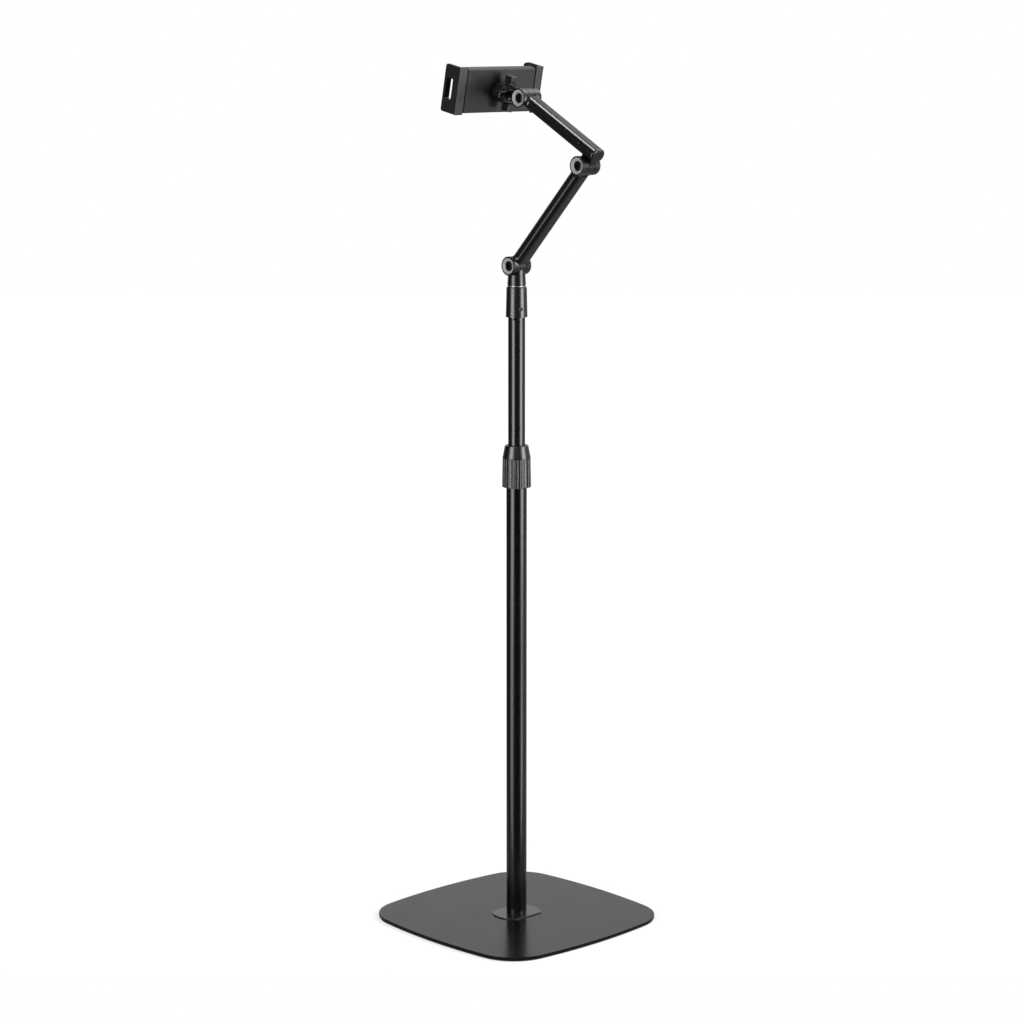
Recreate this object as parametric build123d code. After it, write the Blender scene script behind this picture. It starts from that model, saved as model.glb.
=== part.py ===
from build123d import *
import math
import os

# Fits and clearances, in millimetres
seat_gap = 0.05
run_gap = 0.08
free_gap = 0.4

# How far cutters run past a face, how far joined shapes run into each other,
# a length that clears any sub-part, and how close counts as the same place
cut_over = 1.0
join_in = 0.5
cut_far = 40.0
near = 0.05

# Base
base_half_width = 143.3
base_bow_radius = 682.0
base_corner_radius = 55.6
base_plate_thickness = 3.7
base_edge_round = 0.6
pad_thickness = 1.2
pad_inset = 0.9
pad_hole_radius = 11.0
flange_radius = 30.5
flange_half_flat = 22.5
flange_thickness = 1.2
flange_edge_round = 0.4

# Screw that holds the pole to the base
base_screw_radius = 4.0
base_screw_length = 26.0
base_screw_head_radius = 8.0
base_screw_head_height = 1.9
base_washer_thickness = 0.5
base_washer_radius = 9.0
base_recess_depth = 1.7
base_recess_radius = 10.0
base_socket_radius = 2.6
base_socket_depth = 1.5
foot_insert_length = 30.0
foot_insert_closed_end = 4.0

# Pole
lower_tube_radius = 12.5
lower_tube_wall = 1.2
lower_tube_length = 555.9
upper_tube_radius = 10.3
upper_tube_wall = 1.0
upper_tube_length = 500.0
upper_tube_inserted = 294.0
tube_hole_radius = 1.3
tube_hole_drop = 18.5
tube_hole_angle = 209.4
bush_collar_height = 18.0
bush_spigot_height = 16.0
bush_bore_radius = 6.0
bush_chamfer = 0.8

# Twist lock
sleeve_wall = 2.1
sleeve_below_top = 16.0
sleeve_above_top = 6.0
sleeve_lip_radius = 10.9
thread_groove_depth = 0.5
thread_groove_width = 1.0
thread_pitch = 2.0
thread_turns = 5
collet_height = 17.0
collet_foot_radius = 13.4
collet_foot_height = 4.0
collet_top_radius = 11.8
collet_slot_width = 1.2
collet_slot_count = 6
thrust_ring_thickness = 1.5
thrust_ring_radius = 12.7
thrust_ring_bore_radius = 10.9
collar_length = 51.4
collar_overlap = 17.9
collar_bottom_radius = 17.8
collar_flute_top_radius = 17.1
collar_flute_length = 36.6
collar_top_radius = 14.25
collar_mouth_radius = 11.2
collar_seat_drop = 3.0
collar_edge_round = 0.9
flute_count = 28
flute_cutter_radius = 1.6
flute_depth = 0.75

# Head sleeve and swivel
head_sleeve_length = 36.5
head_sleeve_bottom_radius = 13.15
head_sleeve_top_radius = 12.35
head_sleeve_round = 1.4
head_sleeve_grip = 16.2
set_screw_radius = 2.4
set_screw_length = 1.5
set_screw_rise = 10.2
set_screw_angle = 249.6
set_screw_hex_radius = 1.3
swivel_ring_radius = 10.9
swivel_ring_thickness = 1.8
swivel_ring_round = 0.3
swivel_bolt_radius = 3.0
swivel_bolt_grip = 40.0
swivel_bolt_head_radius = 4.9
swivel_bolt_head_height = 5.6
swivel_socket_depth = 3.0
swivel_washer_thickness = 1.3
swivel_washer_radius = 6.0
post_bottom_radius = 11.4
post_top_radius = 10.6
post_taper_height = 10.5
post_edge_chamfer = 0.6
post_hinge_rise = 23.6

# Hinges
hinge_radius = 11.5
hinge_knuckle_half = 4.7
hinge_slot_half = 5.3
hinge_crotch_radius = 13.0
hinge_ring_side = 14.7
hinge_cap_side = 14.7
hinge_fillet = 5.0
hinge_edge_round = 0.6
hinge_bolt_radius = 3.0
hinge_bolt_seat = 9.0
hinge_bolt_head_radius = 4.8
hinge_bolt_head_height = 2.6
hinge_bolt_dome = 1.2
hinge_bolt_end = 12.6
hinge_hex_radius = 2.3
hinge_hex_depth = 1.5
hinge_recess_radius = 6.2
hinge_ring_radius = 9.8
hinge_ring_thickness = 2.7
hinge_ring_dish = 1.7
hinge_ring_rim = 0.2
spring_washer_radius = 5.8
spring_washer_thickness = 1.0
friction_washer_radius = 10.8
friction_washer_thickness = 0.5
hinge_nut_radius = 5.77
hinge_nut_thickness = 5.0
hinge_nut_seat = 7.2
hinge_cap_round = 2.2
hinge_cap_wall = 1.5
hinge_cap_spigot_radius = 8.2
hinge_cap_spigot_wall = 0.9
hinge_cap_spigot_length = 1.7

# Arms
arm_width = 21.0
arm_thickness = 15.6
arm_corner_radius = 7.0
upper_arm_length = 170.0
upper_arm_lean = 43.2
forearm_length = 123.5
forearm_slope = 28.5
forearm_seam = 110.4
forearm_seam_round = 0.4
forearm_tail = 13.0
forearm_tail_round = 2.5
forearm_spigot_radius = 5.0
forearm_spigot_length = 12.0
forearm_pin_radius = 1.3
forearm_pin_place = 113.2
forearm_pin_reach = 6.0
forearm_pin_sink = 0.2
forearm_pin_round = 0.4
knuckle_neck_front = 7.0
knuckle_neck_rear = 10.0

# Head neck and ball joint
neck_slope = 8.6
neck_length = 36.7
neck_root_radius = 5.5
neck_root_flare = 1.5
neck_flat_end = 12.0
neck_cone_start = 13.0
neck_tip_radius = 4.0
neck_root_place = 8.0
neck_tip_place = 28.4
ball_radius = 8.5
ball_stud_radius = 2.5
ball_stud_start = 14.0
liner_wall = 1.74
liner_half_angle = 92.0
holder_slope = 11.4
ball_behind_plate = 10.5
socket_radius = 12.3
socket_height = 14.2
socket_flange_radius = 19.0
socket_flange_thickness = 2.0
socket_screw_circle = 15.8
socket_screw_radius = 1.25
socket_screw_start = 1.0
socket_screw_head_radius = 2.2
socket_screw_head_height = 1.2
seat_ring_gap = 0.2
seat_ring_radius = 11.4
seat_ring_height = 1.4
seat_ring_lip_radius = 7.04
seat_ring_mouth_radius = 8.0
knob_start = 9.9
knob_bore_radius = 12.4
knob_hub_radius = 13.9
knob_hub_height = 4.6
knob_rim_radius = 11.5
knob_rim_place = 17.6
knob_mouth_radius = 9.75
knob_mouth_inner_radius = 8.2
knob_lobe_radius = 21.5
knob_lobe_inner_radius = 11.9
knob_lobe_width = 8.0
knob_lobe_root_width = 13.2
knob_lobe_root_height = 4.3
knob_lobe_end = 22.8
knob_lobe_round = 1.2
knob_lobe_count = 4

# Holder
body_width = 112.0
body_height = 53.4
body_depth = 14.0
body_wall = 2.4
body_corner_round = 1.5
body_bevel = 1.5
least_round = 0.3
inner_end_gap = 3.6
rib_reach = 1.5
cover_thickness = 2.4
cover_lip = 1.2
cover_lip_wall = 1.6
cover_edge_round = 0.8
cover_screw_radius = 1.25
cover_screw_head_radius = 2.3
cover_screw_head_height = 1.2
cover_screw_inset = 9.0
cover_screw_z = 2.6
cover_boss_radius = 2.5
cover_screw_length = 8.0
face_pad_thickness = 0.8
face_pad_margin = 4.0
face_pad_round = 3.0

# Jaws
jaw_over_body = 1.8
jaw_body_gap = 0.3
jaw_depth = 26.5
jaw_wall = 4.0
jaw_strip_width = 11.7
jaw_strip_thickness = 2.5
jaw_lip_width = 8.5
jaw_lip_thickness = 2.5
jaw_corner_round = 4.0
jaw_front_round = 3.0
jaw_edge_round = 0.7
jaw_slot_height = 25.0
jaw_slot_start = 11.2
jaw_slot_width = 10.8
jaw_slot_round = 1.5
jaw_web_inset = 1.7
jaw_web_over = 0.5
jaw_pad_wall = 1.8
jaw_pad_lip = 1.2
jaw_pad_inset = 1.5
jaw_pad_lip_inset = 0.3

# Rack, pinion and springs
tongue_start = 6.2
tongue_thickness = 4.0
tongue_side_gap = 1.9
tongue_guide = 0.15
tongue_slot_end = 10.0
pinion_teeth = 14
rack_end_teeth = 3
gear_module = 1.0
gear_pressure_angle = 25.0
gear_addendum = 0.8
gear_dedendum = 1.05
gear_backlash = 0.12
pinion_pin_radius = 2.0
pinion_pin_socket_wall = 0.8
pinion_pin_cover_wall = 0.6
pinion_side_gap = 0.1
spring_slot_width = 5.6
spring_slot_wall = 3.8
spring_coil_radius = 1.9
spring_wire_radius = 0.35
spring_end_radius = 2.4
spring_end_thickness = 1.0
spring_hook_radius = 0.7
spring_pitch = 3.0
spring_turns = 12
spring_post_radius = 1.4
spring_post_inset = 12.0

# Heights that follow from the sizes above
plate_bottom = pad_thickness
plate_top = plate_bottom + base_plate_thickness
flange_top = plate_top + flange_thickness
lower_tube_bore = lower_tube_radius - lower_tube_wall
upper_tube_bore = upper_tube_radius - upper_tube_wall
lower_tube_top = flange_top + lower_tube_length
upper_tube_bottom = lower_tube_top - upper_tube_inserted
upper_tube_top = upper_tube_bottom + upper_tube_length
head_sleeve_bottom = upper_tube_top - head_sleeve_grip
head_sleeve_top = head_sleeve_bottom + head_sleeve_length
post_bottom = head_sleeve_top + swivel_ring_thickness + 2 * seat_gap
lower_hinge_z = post_bottom + post_hinge_rise
lock_sleeve_bottom = lower_tube_top - sleeve_below_top
lock_sleeve_top = lower_tube_top + sleeve_above_top
lock_sleeve_radius = lower_tube_radius + sleeve_wall
collet_top = lock_sleeve_top + collet_height
collar_bottom = lower_tube_top - collar_overlap
collar_top = collar_bottom + collar_length
bush_radius = lower_tube_bore - run_gap

# Places in the holder that follow from the body's sizes
jaw_height = body_height + 2 * jaw_over_body
jaw_reach = body_width / 2 + jaw_body_gap + jaw_strip_width
tongue_outer = body_height / 2 - body_wall - tongue_side_gap
tongue_inner_end = body_width / 2 - body_wall - inner_end_gap
tongue_end = tongue_start + tongue_thickness
spring_slot_high = tongue_outer - spring_slot_wall
spring_slot_low = spring_slot_high - spring_slot_width
spring_post_place = body_width / 2 - spring_post_inset
cover_screw_x = body_width / 2 - cover_screw_inset
cover_start = body_depth - face_pad_thickness - cover_thickness
cover_end = body_depth - face_pad_thickness
seat_ring_bottom = -socket_height - seat_ring_gap
seat_ring_top = seat_ring_bottom - seat_ring_height


def direction(angle):
    """Unit step in the YZ plane at an angle above +Y, in degrees."""
    return math.cos(math.radians(angle)), math.sin(math.radians(angle))


def step(point, angle, distance):
    """Point reached from a YZ point by going a distance along an angle."""
    along_y, along_z = direction(angle)
    return point[0] + distance * along_y, point[1] + distance * along_z


# Hinge axes, ball centre and holder origin in the YZ plane, at rest
lower_hinge = (0.0, lower_hinge_z)
upper_arm_angle = 90.0 + upper_arm_lean
middle_hinge = step(lower_hinge, upper_arm_angle, upper_arm_length)
forearm_offset = hinge_radius + arm_thickness / 2 + free_gap
forearm_line_point = step(middle_hinge, 90.0 + forearm_slope, forearm_offset)
top_hinge = step(forearm_line_point, forearm_slope, forearm_length)
ball_centre = step(top_hinge, neck_slope, neck_length)
holder_origin = step(ball_centre, holder_slope, ball_behind_plate)


def frame_at(point, angle):
    """Local frame at a YZ point, its +Y turned up by an angle."""
    return Location((0, point[0], point[1]), (angle, 0, 0))


upper_arm_frame = frame_at(lower_hinge, upper_arm_angle)
forearm_frame = frame_at(top_hinge, forearm_slope)
neck_frame = frame_at(top_hinge, neck_slope)
holder_frame = frame_at(holder_origin, holder_slope)


def rod(radius, bottom, top):
    """Round rod along Z."""
    upward = (Align.CENTER, Align.CENTER, Align.MIN)
    return Pos(0, 0, bottom) * Cylinder(radius, top - bottom, align=upward)


def pipe(outer, inner, bottom, top):
    """Round tube along Z."""
    return rod(outer, bottom, top) - rod(inner, bottom - cut_over, top + cut_over)


def x_rod(radius, left, right, y=0.0, z=0.0):
    """Round rod along X, centred on a YZ point."""
    return Pos(left, y, z) * Rot(0, 90, 0) * rod(radius, 0, right - left)


def y_rod(radius, start, end, x=0.0, z=0.0):
    """Round rod along Y, centred on an XZ point."""
    return Pos(x, start, z) * Rot(-90, 0, 0) * rod(radius, 0, end - start)


def block(x_range, y_range, z_range):
    """Box between two corners."""
    sizes = [high - low for low, high in (x_range, y_range, z_range)]
    middles = [(high + low) / 2 for low, high in (x_range, y_range, z_range)]
    return Pos(*middles) * Box(*sizes)


def turned_z(points):
    """Solid of revolution about Z from (radius, height) points."""
    return revolve(Plane.XZ * make_face(Polyline(*points, close=True)), Axis.Z)


def turned_y(points):
    """Solid of revolution about Y from (radius, place along Y) points."""
    return Rot(-90, 0, 0) * turned_z(points)


def hexagon_x(radius, left, right):
    """Hexagonal prism along X, its radius measured to the corners."""
    return Pos(left, 0, 0) * Rot(0, 90, 0) * extrude(RegularPolygon(radius, 6), right - left)


# Base plate and what holds the pole to it
def bowed_square(inset):
    """Rounded square whose sides bow outwards, drawn in by an inset."""
    side = base_bow_radius
    corner = base_corner_radius
    shift = side - base_half_width
    reach = side - corner
    centre = (math.sqrt(2 * reach**2 - shift**2) - shift) / 2
    sweep_angle = math.degrees(math.atan2(centre, centre + shift))
    edges = []
    for quarter in range(4):
        turn = Rot(0, 0, 90 * quarter)
        side_arc = CenterArc((-shift, 0), side - inset, -sweep_angle, 2 * sweep_angle)
        corner_arc = CenterArc((centre, centre), corner - inset, sweep_angle, 90 - 2 * sweep_angle)
        edges += [turn * side_arc, turn * corner_arc]
    return make_face(edges)


def make_base_plate():
    plate = Pos(0, 0, plate_bottom) * extrude(bowed_square(0), base_plate_thickness)
    plate = fillet(plate.edges(), base_edge_round)
    plate -= rod(base_screw_radius + run_gap, 0, plate_top + cut_over)
    plate -= rod(base_recess_radius, 0, plate_bottom + base_recess_depth)
    return plate


def make_base_pad():
    pad = extrude(bowed_square(pad_inset), pad_thickness)
    return pad - rod(pad_hole_radius, -cut_over, pad_thickness + cut_over)


def make_flange_plate():
    half = flange_half_flat
    flats = block((-flange_radius, flange_radius), (-half, half), (plate_top, flange_top))
    plate = rod(flange_radius, plate_top, flange_top) & flats
    plate = fillet(plate.edges().group_by(Axis.Z)[-1], flange_edge_round)
    return plate - rod(base_screw_radius + run_gap, plate_top - cut_over, flange_top + cut_over)


def make_base_washer():
    top = plate_bottom + base_recess_depth
    return pipe(base_washer_radius, base_screw_radius + run_gap, top - base_washer_thickness, top)


def make_base_screw():
    head_top = plate_bottom + base_recess_depth - base_washer_thickness
    head = rod(base_screw_head_radius, head_top - base_screw_head_height, head_top)
    screw = head + rod(base_screw_radius, head_top, head_top + base_screw_length)
    socket = extrude(RegularPolygon(base_socket_radius, 6), base_socket_depth)
    return screw - Pos(0, 0, head_top - base_screw_head_height) * socket


def make_foot_insert():
    insert = rod(lower_tube_bore - seat_gap, flange_top, flange_top + foot_insert_length)
    hole_top = flange_top + foot_insert_length - foot_insert_closed_end
    return insert - rod(base_screw_radius + seat_gap, flange_top - cut_over, hole_top)


def make_lower_tube():
    return pipe(lower_tube_radius, lower_tube_bore, flange_top, lower_tube_top)


# Twist lock
def make_lock_sleeve():
    sleeve = rod(lock_sleeve_radius, lock_sleeve_bottom, lock_sleeve_top)
    sleeve -= rod(lower_tube_radius + seat_gap, lock_sleeve_bottom - cut_over, lower_tube_top)
    sleeve -= rod(sleeve_lip_radius, lower_tube_top - cut_over, lock_sleeve_top + cut_over)
    for turn in range(thread_turns):
        top = lock_sleeve_top - thread_pitch * (turn + 1)
        groove_inner = lock_sleeve_radius - thread_groove_depth
        sleeve -= pipe(lock_sleeve_radius + cut_over, groove_inner, top - thread_groove_width, top)
    return sleeve


def make_lock_collet():
    foot_top = lock_sleeve_top + collet_foot_height
    collet = turned_z([
        (0, lock_sleeve_top),
        (collet_foot_radius, lock_sleeve_top),
        (collet_foot_radius, foot_top),
        (collet_top_radius, collet_top),
        (0, collet_top),
    ])
    collet -= rod(upper_tube_radius + run_gap, lock_sleeve_top - cut_over, collet_top + cut_over)
    half = collet_slot_width / 2
    reach = (upper_tube_radius - cut_over, collet_foot_radius + cut_over)
    slot = block(reach, (-half, half), (foot_top, collet_top + cut_over))
    for number in range(collet_slot_count):
        collet -= Rot(0, 0, number * 360 / collet_slot_count) * slot
    return collet


def make_lock_thrust_ring():
    bottom = collet_top + seat_gap
    return pipe(thrust_ring_radius, thrust_ring_bore_radius, bottom, bottom + thrust_ring_thickness)


def flute_cutters():
    """Tapered ring of round-ended grooves round the collar."""
    length = collar_flute_length
    lean = math.degrees(math.atan2(collar_bottom_radius - collar_flute_top_radius, length))
    centre_radius = collar_flute_top_radius + flute_cutter_radius - flute_depth
    groove = Sphere(flute_cutter_radius) + rod(flute_cutter_radius, -collar_length, 0)
    groove = Pos(centre_radius, 0, collar_bottom + length - flute_cutter_radius) * Rot(0, -lean, 0) * groove
    return [Rot(0, 0, number * 360 / flute_count) * groove for number in range(flute_count)]


def make_lock_collar():
    shoulder = collet_top + 2 * seat_gap + thrust_ring_thickness
    flute_top = collar_bottom + collar_flute_length
    bore_top = lock_sleeve_top + free_gap
    collar = turned_z([
        (lock_sleeve_radius + run_gap, collar_bottom),
        (collar_bottom_radius, collar_bottom),
        (collar_flute_top_radius, flute_top),
        (collar_top_radius, collar_top),
        (collar_mouth_radius, collar_top),
        (collar_mouth_radius, shoulder),
        (thrust_ring_radius + run_gap, shoulder),
        (thrust_ring_radius + run_gap, collet_top - collar_seat_drop),
        (collet_foot_radius + free_gap, lock_sleeve_top + collet_foot_height),
        (collet_foot_radius + free_gap, bore_top),
        (lock_sleeve_radius + run_gap, bore_top),
    ])
    top_edges = collar.edges().filter_by(GeomType.CIRCLE).group_by(Axis.Z)[-1]
    collar = fillet(top_edges, collar_edge_round)
    bottom_edges = collar.edges().filter_by(GeomType.CIRCLE).group_by(Axis.Z)[0]
    collar = fillet(bottom_edges.sort_by(SortBy.RADIUS)[-1], collar_edge_round)
    return collar - flute_cutters()


# Upper pole and its head
def make_upper_tube():
    tube = pipe(upper_tube_radius, upper_tube_bore, upper_tube_bottom, upper_tube_top)
    hole = x_rod(tube_hole_radius, upper_tube_bore - cut_over, upper_tube_radius + cut_over)
    hole = Rot(0, 0, tube_hole_angle) * hole
    return tube - Pos(0, 0, upper_tube_top - tube_hole_drop) * hole


def make_guide_bush():
    spigot_top = upper_tube_bottom + bush_spigot_height
    bush = rod(bush_radius, upper_tube_bottom - bush_collar_height, upper_tube_bottom)
    bush = chamfer(bush.edges().filter_by(GeomType.CIRCLE), bush_chamfer)
    bush += rod(upper_tube_bore - seat_gap, upper_tube_bottom - join_in, spigot_top)
    hole_bottom = upper_tube_bottom - bush_collar_height - cut_over
    return bush - rod(bush_bore_radius, hole_bottom, spigot_top + cut_over)


def set_screw_hole(radius, start, end):
    """Radial rod through the head sleeve where its set screw sits."""
    hole = Rot(0, 0, set_screw_angle) * x_rod(radius, start, end)
    return Pos(0, 0, head_sleeve_bottom + set_screw_rise) * hole


def make_head_sleeve():
    sleeve = turned_z([
        (0, head_sleeve_bottom),
        (head_sleeve_bottom_radius, head_sleeve_bottom),
        (head_sleeve_top_radius, head_sleeve_top),
        (0, head_sleeve_top),
    ])
    sleeve = fillet(sleeve.edges().filter_by(GeomType.CIRCLE).group_by(Axis.Z)[-1], head_sleeve_round)
    sleeve -= rod(upper_tube_radius + seat_gap, head_sleeve_bottom - cut_over, upper_tube_top)
    sleeve -= rod(swivel_bolt_radius + run_gap, upper_tube_top - cut_over, head_sleeve_top + cut_over)
    return sleeve - set_screw_hole(set_screw_radius + seat_gap, upper_tube_radius - cut_over, cut_far)


def make_sleeve_set_screw():
    start = upper_tube_radius + seat_gap
    screw = set_screw_hole(set_screw_radius, start, start + set_screw_length)
    return screw - set_screw_hole(set_screw_hex_radius, start + set_screw_length / 2, cut_far)


def make_swivel_ring():
    bottom = head_sleeve_top + seat_gap
    ring = rod(swivel_ring_radius, bottom, bottom + swivel_ring_thickness)
    ring = fillet(ring.edges().filter_by(GeomType.CIRCLE), swivel_ring_round)
    return ring - rod(swivel_bolt_radius + run_gap, bottom - cut_over, post_bottom + cut_over)


def make_swivel_washer():
    top = upper_tube_top
    return pipe(swivel_washer_radius, swivel_bolt_radius + run_gap, top - swivel_washer_thickness, top)


def make_swivel_bolt():
    head_top = upper_tube_top - swivel_washer_thickness - seat_gap
    head = rod(swivel_bolt_head_radius, head_top - swivel_bolt_head_height, head_top)
    bolt = head + rod(swivel_bolt_radius, head_top, head_top + swivel_bolt_grip)
    socket = extrude(RegularPolygon(hinge_hex_radius, 6), swivel_socket_depth)
    return bolt - Pos(0, 0, head_top - swivel_bolt_head_height) * socket


def make_post():
    post = turned_z([
        (0, post_bottom),
        (post_bottom_radius, post_bottom),
        (post_top_radius, post_bottom + post_taper_height),
        (post_top_radius, lower_hinge_z),
        (0, lower_hinge_z),
    ])
    post = chamfer(post.edges().filter_by(GeomType.CIRCLE).group_by(Axis.Z)[0], post_edge_chamfer)
    for side in (-1, 1):
        left, right = sorted((side * hinge_knuckle_half, side * cut_far))
        post -= x_rod(hinge_radius + free_gap, left, right, 0, lower_hinge_z)
    post += x_rod(hinge_radius, -hinge_knuckle_half, hinge_knuckle_half, 0, lower_hinge_z)
    post -= x_rod(hinge_bolt_radius + run_gap, -cut_far, cut_far, 0, lower_hinge_z)
    bolt_top = upper_tube_top - swivel_washer_thickness - seat_gap + swivel_bolt_grip
    return post - rod(swivel_bolt_radius + seat_gap, post_bottom - cut_over, bolt_top + free_gap)


# Hinge hardware, in a frame whose X axis is the hinge axis
def make_hinge_ring():
    """Ring whose face slopes in to the bolt's recess."""
    outer = -hinge_ring_side
    inner = outer + hinge_ring_thickness
    ring = turned_z([
        (hinge_recess_radius, outer + hinge_ring_dish),
        (hinge_ring_radius - hinge_ring_rim, outer),
        (hinge_ring_radius, outer + hinge_ring_rim),
        (hinge_ring_radius, inner),
        (hinge_recess_radius, inner),
    ])
    return Rot(0, 90, 0) * ring


def make_hinge_bolt():
    head_right = -hinge_bolt_seat - spring_washer_thickness - seat_gap
    head_left = head_right - hinge_bolt_head_height
    head = x_rod(hinge_bolt_head_radius, head_left, head_right)
    head = fillet(head.edges().filter_by(GeomType.CIRCLE).group_by(Axis.X)[0], hinge_bolt_dome)
    bolt = head + x_rod(hinge_bolt_radius, head_right - join_in, hinge_bolt_end)
    return bolt - hexagon_x(hinge_hex_radius, head_left - cut_over, head_left + hinge_hex_depth)


def make_spring_washer():
    washer = x_rod(spring_washer_radius, -hinge_bolt_seat - spring_washer_thickness, -hinge_bolt_seat)
    return washer - x_rod(hinge_bolt_radius + run_gap, -hinge_ring_side, 0)


def make_friction_washers():
    """Two thin discs, one each side of the knuckle."""
    washers = []
    for side in (-1, 1):
        inner = side * (hinge_slot_half - friction_washer_thickness)
        left, right = sorted((inner, side * hinge_slot_half))
        disc = x_rod(friction_washer_radius, left, right)
        washers.append(disc - x_rod(hinge_bolt_radius + run_gap, -cut_far, cut_far))
    return washers


def make_hinge_nut():
    nut = hexagon_x(hinge_nut_radius, hinge_nut_seat, hinge_nut_seat + hinge_nut_thickness)
    return nut - x_rod(hinge_bolt_radius + seat_gap, 0, hinge_cap_side)


def make_hinge_cap():
    seat = arm_width / 2
    inner_radius = hinge_cap_spigot_radius - hinge_cap_spigot_wall
    cap = x_rod(hinge_radius, seat, hinge_cap_side)
    cap = fillet(cap.edges().filter_by(GeomType.CIRCLE).group_by(Axis.X)[-1], hinge_cap_round)
    cap += x_rod(hinge_cap_spigot_radius, seat - hinge_cap_spigot_length, seat + join_in)
    return cap - x_rod(inner_radius, 0, hinge_cap_side - hinge_cap_wall)


# Arms, in a frame along Y with the hinge axis along X
def arm_bar(start, end):
    section = Plane.XZ * RectangleRounded(arm_width, arm_thickness, arm_corner_radius)
    return Pos(0, end, 0) * extrude(section, end - start)


def fork_root(bar, hinge_y):
    """Join a bar to the long barrel that its fork is cut from, with a fillet all round."""
    joined = bar + x_rod(hinge_radius, -cut_far, cut_far, hinge_y)

    def at_junction(edge):
        point = edge @ 0.5
        distance = math.hypot(point.Y - hinge_y, point.Z)
        return abs(point.X) < arm_width and abs(distance - hinge_radius) < near

    return fillet(joined.edges().filter_by(at_junction), hinge_fillet)


def fork_cut(arm, hinge_y, outward):
    """Cut the knuckle slot, bores and seats of a fork. outward is +1 or -1 along Y."""
    slot = x_rod(hinge_crotch_radius, -hinge_slot_half, hinge_slot_half, hinge_y)
    y_range = tuple(sorted((hinge_y, hinge_y + outward * cut_far)))
    half = hinge_crotch_radius
    slot += block((-hinge_slot_half, hinge_slot_half), y_range, (-half, half))
    place = Pos(0, hinge_y, 0)
    arm -= slot
    arm -= place * x_rod(hinge_bolt_radius + run_gap, -cut_far, cut_far)
    arm -= place * x_rod(hinge_recess_radius, -cut_far, -hinge_bolt_seat)
    ring_seat = -hinge_ring_side + hinge_ring_thickness
    arm -= place * x_rod(hinge_ring_radius + seat_gap, -cut_far, ring_seat)
    cap_seat = arm_width / 2 - hinge_cap_spigot_length
    arm -= place * x_rod(hinge_cap_spigot_radius + seat_gap, cap_seat, cut_far)
    pocket_radius = hinge_nut_radius + 2 * seat_gap
    return arm - place * hexagon_x(pocket_radius, hinge_nut_seat, arm_width / 2 + cut_over)


def trim_width(arm, y_range):
    """Keep the arm between the ring side's face and the cap's seat."""
    return arm & block((-hinge_ring_side, arm_width / 2), y_range, (-cut_far, cut_far))


def rim_round(arm, hinge_y):
    """Soften the rim round the grey ring."""
    def on_rim(edge):
        if edge.geom_type != GeomType.CIRCLE:
            return False
        centre = edge.arc_center
        return abs(centre.X + hinge_ring_side) < near and abs(centre.Y - hinge_y) < near
    return fillet(arm.edges().filter_by(on_rim), hinge_edge_round)


def make_upper_arm():
    arm = arm_bar(0, upper_arm_length)
    arm = fork_root(arm, 0)
    arm = fork_root(arm, upper_arm_length)
    arm = trim_width(arm, (-cut_far, upper_arm_length + cut_far))
    arm = rim_round(arm, 0)
    arm = rim_round(arm, upper_arm_length)
    arm = fork_cut(arm, 0, -1)
    return fork_cut(arm, upper_arm_length, 1)


def make_forearm():
    arm = fork_root(arm_bar(-forearm_seam, 0), 0)
    arm = trim_width(arm, (-forearm_seam - cut_over, cut_far))
    arm = fork_cut(rim_round(arm, 0), 0, 1)
    arm = fillet(arm.edges().group_by(Axis.Y)[0], forearm_seam_round)
    spigot_end = -forearm_seam - forearm_spigot_length
    arm += y_rod(forearm_spigot_radius, spigot_end, -forearm_seam + join_in)
    return arm - forearm_pin_rod(forearm_pin_radius + seat_gap)


def forearm_pin_rod(radius):
    return x_rod(radius, -arm_width / 2 + forearm_pin_sink, forearm_pin_reach, -forearm_pin_place)


def make_forearm_pin():
    pin = forearm_pin_rod(forearm_pin_radius)
    return fillet(pin.edges().filter_by(GeomType.CIRCLE).group_by(Axis.X)[0], forearm_pin_round)


def make_forearm_end():
    start = -forearm_length - forearm_tail
    end = arm_bar(start, -forearm_seam - seat_gap)
    end = fillet(end.edges().group_by(Axis.Y)[0], forearm_tail_round)
    end = fillet(end.edges().group_by(Axis.Y)[-1], forearm_seam_round)
    half = hinge_knuckle_half
    neck_range = (-forearm_length - knuckle_neck_rear, -forearm_length + knuckle_neck_front)
    end += block((-half, half), neck_range, (-forearm_offset, 0))
    end += x_rod(hinge_radius, -half, half, -forearm_length, -forearm_offset)
    end -= x_rod(hinge_bolt_radius + run_gap, -cut_far, cut_far, -forearm_length, -forearm_offset)
    hole_end = -forearm_seam - forearm_spigot_length - seat_gap
    end -= y_rod(forearm_spigot_radius + seat_gap, hole_end, 0)
    end -= forearm_pin_rod(forearm_pin_radius + seat_gap)
    return end - x_rod(forearm_pin_radius + seat_gap, -cut_far, 0, -forearm_pin_place)


# Ball joint. Behind the plate, places are counted from the plate's rear face
def make_head_neck():
    neck = turned_y([
        (0, neck_root_place),
        (neck_root_radius + neck_root_flare, neck_root_place),
        (neck_root_radius, neck_cone_start),
        (neck_tip_radius, neck_tip_place),
        (0, neck_tip_place),
    ])
    half = hinge_knuckle_half
    wide = (-hinge_radius, hinge_radius)
    trim = block((-half, half), (0, neck_flat_end), wide)
    trim += block(wide, (neck_cone_start, cut_far), wide)
    neck = neck & trim
    neck += y_rod(neck_tip_radius, hinge_radius, neck_tip_place)
    neck += x_rod(hinge_radius, -half, half)
    neck -= x_rod(hinge_bolt_radius + run_gap, -cut_far, cut_far)
    return neck - y_rod(ball_stud_radius + run_gap, ball_stud_start - free_gap, cut_far)


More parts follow.
